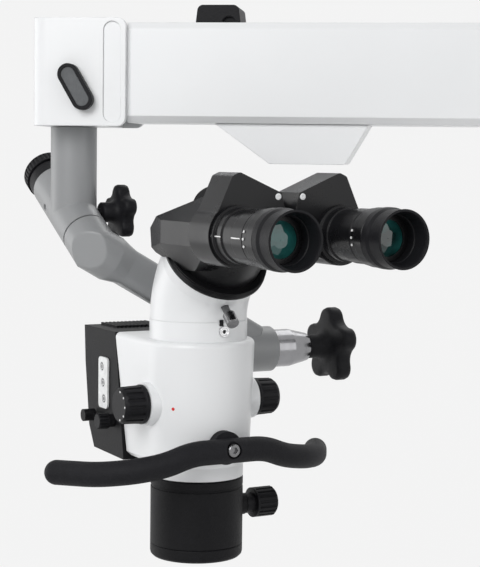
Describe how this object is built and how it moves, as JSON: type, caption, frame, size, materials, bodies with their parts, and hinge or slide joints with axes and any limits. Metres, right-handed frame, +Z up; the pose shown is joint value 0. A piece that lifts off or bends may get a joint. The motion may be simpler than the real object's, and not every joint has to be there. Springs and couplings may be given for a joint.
{
  "type": "surgical microscope",
  "caption": "Binocular surgical microscope head with inclined neck and handle bar, hung by a jointed link from a parallel spring arm.",
  "frame": {"origin": "middle of the objective's front ring, on the optical axis at the ring's lower face", "axes": "+Z up along the optical axis, -Y towards the user, +X to the user's right"},
  "size_m": [0.4884, 0.3877, 0.3733],
  "materials": {
    "white_paint": "satin",
    "grey_casting": "satin",
    "black_paint": "matte",
    "black_gloss": "semi gloss",
    "black_plastic": "matte",
    "matte_handle": "fine texture, matte",
    "grey_plastic": "matte",
    "pale_plastic": "satin",
    "rubber": "matte",
    "steel": "brushed",
    "polished_steel": "fine turned",
    "bare_aluminium": "bare",
    "bronze": "sintered",
    "glass": "clear",
    "coated_glass": "coated"
  },
  "bodies": {
    "stand": {"stand_spigot": "steel"},
    "rear_end": {"rear_block": "white_paint"},
    "arm": {"arm_cover": "white_paint", "arm_spar": "grey_casting", "arm_pivot_pins": "steel", "gas_strut": "black_gloss", "belly_cover": "white_paint", "top_cap": "black_plastic"},
    "lower_rod": {"tie_rod": "steel", "rod_pins": "steel"},
    "front_end": {"front_block": "white_paint"},
    "swivel_lock": {"lock_lever": "black_plastic", "lock_lever_inset": "grey_plastic"},
    "swivel": {"swivel_casting": "grey_casting", "barrel_bushes": "bronze"},
    "roll_knob": {"barrel_end_knob": "black_plastic"},
    "side_knob": {"small_star_knob": "black_plastic"},
    "link": {"link_arm": "grey_casting", "tilt_bushes": "bronze", "clamp_sleeve": "polished_steel"},
    "tilt_knob": {"large_star_knob": "black_plastic"},
    "head": {"head_body": "white_paint", "tilt_shaft": "steel", "neck": "white_paint", "neck_key": "black_plastic", "collar_set_screw": "steel", "dovetail_disk": "black_paint", "binocular_housing": "black_gloss", "lamp_housing": "black_paint", "lamp_unit": "bare_aluminium", "keypad_plate": "pale_plastic", "objective_housing": "black_paint", "objective_front_ring": "black_paint", "handle_bar": "matte_handle", "handle_screw": "steel"},
    "changer": {"magnification_drum": "steel", "drum_lenses": "glass", "left_magnification_knob": "black_plastic", "right_magnification_knob": "black_plastic"},
    "lens_cell": {"objective_cell": "black_paint", "objective_lens": "coated_glass"},
    "focus": {"focus_knob": "black_plastic"},
    "filter": {"filter_knob": "black_plastic"},
    "iris": {"iris_lever": "black_paint"},
    "key_upper": {"upper_button": "grey_plastic"},
    "key_middle": {"middle_button": "grey_plastic"},
    "key_lower": {"lower_button": "grey_plastic"},
    "dovetail_screw": {"dovetail_clamp_screw": "steel"},
    "left_ocular": {"left_prism_box": "black_gloss", "left_prism": "glass", "left_eye_tube": "black_gloss", "left_eye_lens": "coated_glass"},
    "right_ocular": {"right_prism_box": "black_gloss", "right_prism": "glass", "right_eye_tube": "black_gloss", "right_eye_lens": "coated_glass"},
    "left_diopter": {"left_diopter_ring": "black_gloss"},
    "right_diopter": {"right_diopter_ring": "black_gloss"},
    "left_cup": {"left_eyecup": "rubber"},
    "right_cup": {"right_eyecup": "rubber"}
  },
  "joints": [
    {"name": "arm_swing", "type": "hinge", "parent": "stand", "child": "rear_end", "pos_m": [0.34657, -0.19387, 0.32], "axis": [0, 0, 1], "range_deg": [-160, 160]},
    {"name": "arm_lift", "type": "hinge", "parent": "rear_end", "child": "arm", "pos_m": [0.31425, -0.1703, 0.3265], "axis": [0.5892, 0.808, 0], "range_deg": [-30, 12]},
    {"name": "rod_follow", "type": "hinge", "parent": "rear_end", "child": "lower_rod", "pos_m": [0.31425, -0.1703, 0.3105], "axis": [0.5892, 0.808, 0], "range_deg": [-31, 13]},
    {"name": "front_level", "type": "hinge", "parent": "arm", "child": "front_end", "pos_m": [-0.02511, 0.07716, 0.3265], "axis": [0.5892, 0.808, 0], "range_deg": [-13, 31]},
    {"name": "swivel_lock_turn", "type": "hinge", "parent": "front_end", "child": "swivel_lock", "pos_m": [-0.06588, 0.05739, 0.316], "axis": [0.5892, 0.808, 0], "range_deg": [-50, 25]},
    {"name": "head_yaw", "type": "hinge", "parent": "front_end", "child": "swivel", "pos_m": [-0.0508, 0.0959, 0.28], "axis": [0, 0, 1], "range_deg": [-120, 4]},
    {"name": "roll_knob_turn", "type": "hinge", "parent": "swivel", "child": "roll_knob", "pos_m": [-0.0508, 0.1392, 0.2521], "axis": [0, -0.866, -0.5], "continuous": true},
    {"name": "side_knob_turn", "type": "hinge", "parent": "swivel", "child": "side_knob", "pos_m": [-0.02, 0.087, 0.2295], "axis": [1, 0, 0], "continuous": true},
    {"name": "head_roll", "type": "hinge", "parent": "swivel", "child": "link", "pos_m": [-0.0508, 0.07858, 0.2171], "axis": [0, -0.866, -0.5], "range_deg": [-10, 10]},
    {"name": "tilt_knob_turn", "type": "hinge", "parent": "link", "child": "tilt_knob", "pos_m": [0.13, 0.058, 0.13], "axis": [1, 0, 0], "continuous": true},
    {"name": "head_tilt", "type": "hinge", "parent": "link", "child": "head", "pos_m": [0.05, 0.058, 0.13], "axis": [1, 0, 0], "range_deg": [-10, 20]},
    {"name": "magnification_turn", "type": "hinge", "parent": "head", "child": "changer", "pos_m": [0, 0, 0.105], "axis": [1, 0, 0], "continuous": true},
    {"name": "lens_travel", "type": "slide", "parent": "head", "child": "lens_cell", "axis": [0, 0, 1], "range_m": [-0.004, 0.02]},
    {"name": "focus_turn", "type": "hinge", "parent": "head", "child": "focus", "pos_m": [0.045, 0, 0.031], "axis": [1, 0, 0], "range_deg": [-73, 361]},
    {"name": "filter_turn", "type": "hinge", "parent": "head", "child": "filter", "pos_m": [-0.045, 0.054, 0.086], "axis": [-1, 0, 0], "continuous": true},
    {"name": "iris_turn", "type": "hinge", "parent": "head", "child": "iris", "pos_m": [-0.039, 0.054, 0.086], "axis": [-1, 0, 0], "range_deg": [-25, 35]},
    {"name": "upper_key", "type": "slide", "parent": "head", "child": "key_upper", "axis": [1, 0, 0], "range_m": [0, 0.0008], "stiffness_N_per_m": 400, "springref_m": -0.0005},
    {"name": "middle_key", "type": "slide", "parent": "head", "child": "key_middle", "axis": [1, 0, 0], "range_m": [0, 0.0008], "stiffness_N_per_m": 400, "springref_m": -0.0005},
    {"name": "lower_key", "type": "slide", "parent": "head", "child": "key_lower", "axis": [1, 0, 0], "range_m": [0, 0.0008], "stiffness_N_per_m": 400, "springref_m": -0.0005},
    {"name": "dovetail_screw_turn", "type": "hinge", "parent": "head", "child": "dovetail_screw", "pos_m": [0, -0.0339, 0.1748], "axis": [0, -0.766, -0.6428], "continuous": true},
    {"name": "right_eye_swing", "type": "hinge", "parent": "head", "child": "right_ocular", "pos_m": [0.012, -0.1, 0.2228], "axis": [0, 1, 0], "range_deg": [0, 50]},
    {"name": "left_eye_swing", "type": "hinge", "parent": "head", "child": "left_ocular", "pos_m": [-0.012, -0.1, 0.2228], "axis": [0, 1, 0], "range_deg": [-50, 0]},
    {"name": "left_diopter_turn", "type": "hinge", "parent": "left_ocular", "child": "left_diopter", "pos_m": [-0.0365, -0.16, 0.2228], "axis": [0, 1, 0], "range_deg": [-150, 150]},
    {"name": "right_diopter_turn", "type": "hinge", "parent": "right_ocular", "child": "right_diopter", "pos_m": [0.0365, -0.16, 0.2228], "axis": [0, 1, 0], "range_deg": [-150, 150]},
    {"name": "left_cup_turn", "type": "hinge", "parent": "left_ocular", "child": "left_cup", "pos_m": [-0.0365, -0.18, 0.2228], "axis": [0, 1, 0], "continuous": true},
    {"name": "right_cup_turn", "type": "hinge", "parent": "right_ocular", "child": "right_cup", "pos_m": [0.0365, -0.18, 0.2228], "axis": [0, 1, 0], "continuous": true}
  ],
  "couplings": [
    {"joint": "rod_follow", "follows": "arm_lift", "ratio": 1},
    {"joint": "front_level", "follows": "arm_lift", "ratio": -1},
    {"joint": "focus_turn", "follows": "lens_travel", "rad_per_m": 314.16},
    {"joint": "left_eye_swing", "follows": "right_eye_swing", "ratio": -1}
  ]
}
